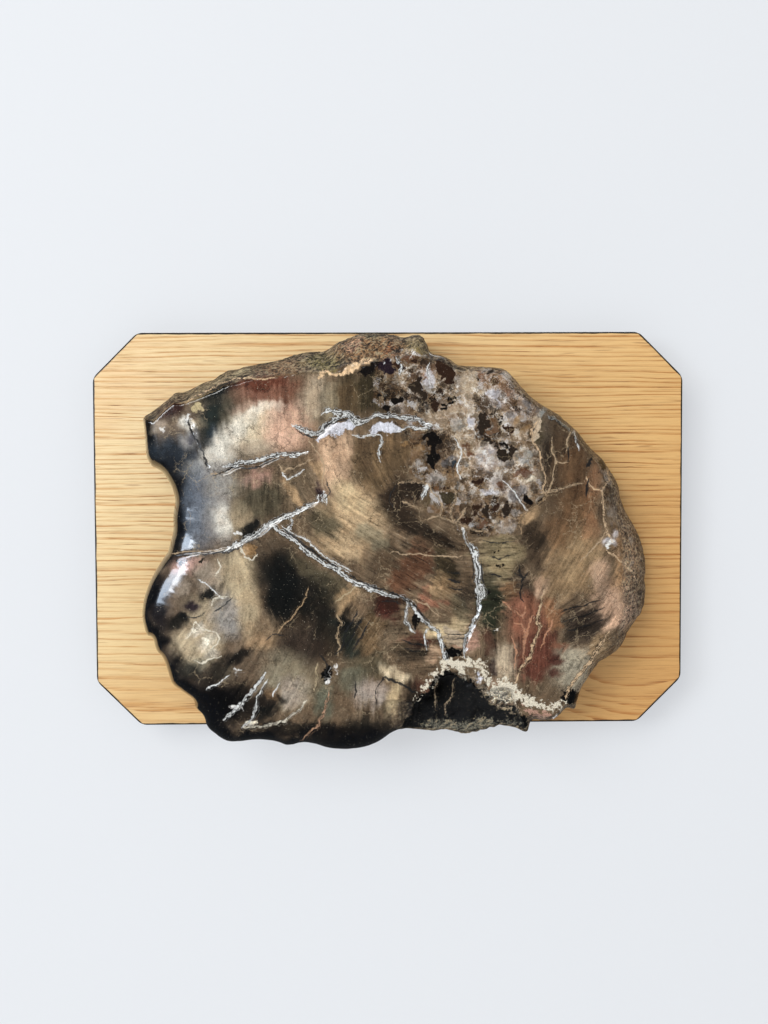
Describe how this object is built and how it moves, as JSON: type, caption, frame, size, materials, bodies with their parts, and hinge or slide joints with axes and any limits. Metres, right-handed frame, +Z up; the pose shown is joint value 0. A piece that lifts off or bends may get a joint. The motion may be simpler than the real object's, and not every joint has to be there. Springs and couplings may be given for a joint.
{
  "type": "petrified wood wall sculpture",
  "caption": "Polished slice of petrified wood bonded to an oak board with clipped corners, which hangs flat on a wall as decoration.",
  "frame": {"origin": "centre of the board's back face, on the wall", "axes": "+X to the right along the board's long side, +Y into the wall, +Z up; the polished face looks along -Y"},
  "size_m": [0.3, 0.0479, 0.2101],
  "materials": {
    "oak": "oiled oak, satin, edge stained black",
    "petrified_wood": "polished agatised wood with rough natural rind, cracks and white quartz veins"
  },
  "bodies": {
    "root": {"oak_board": "oak", "petrified_wood_slab": "petrified_wood"}
  },
  "joints": []
}
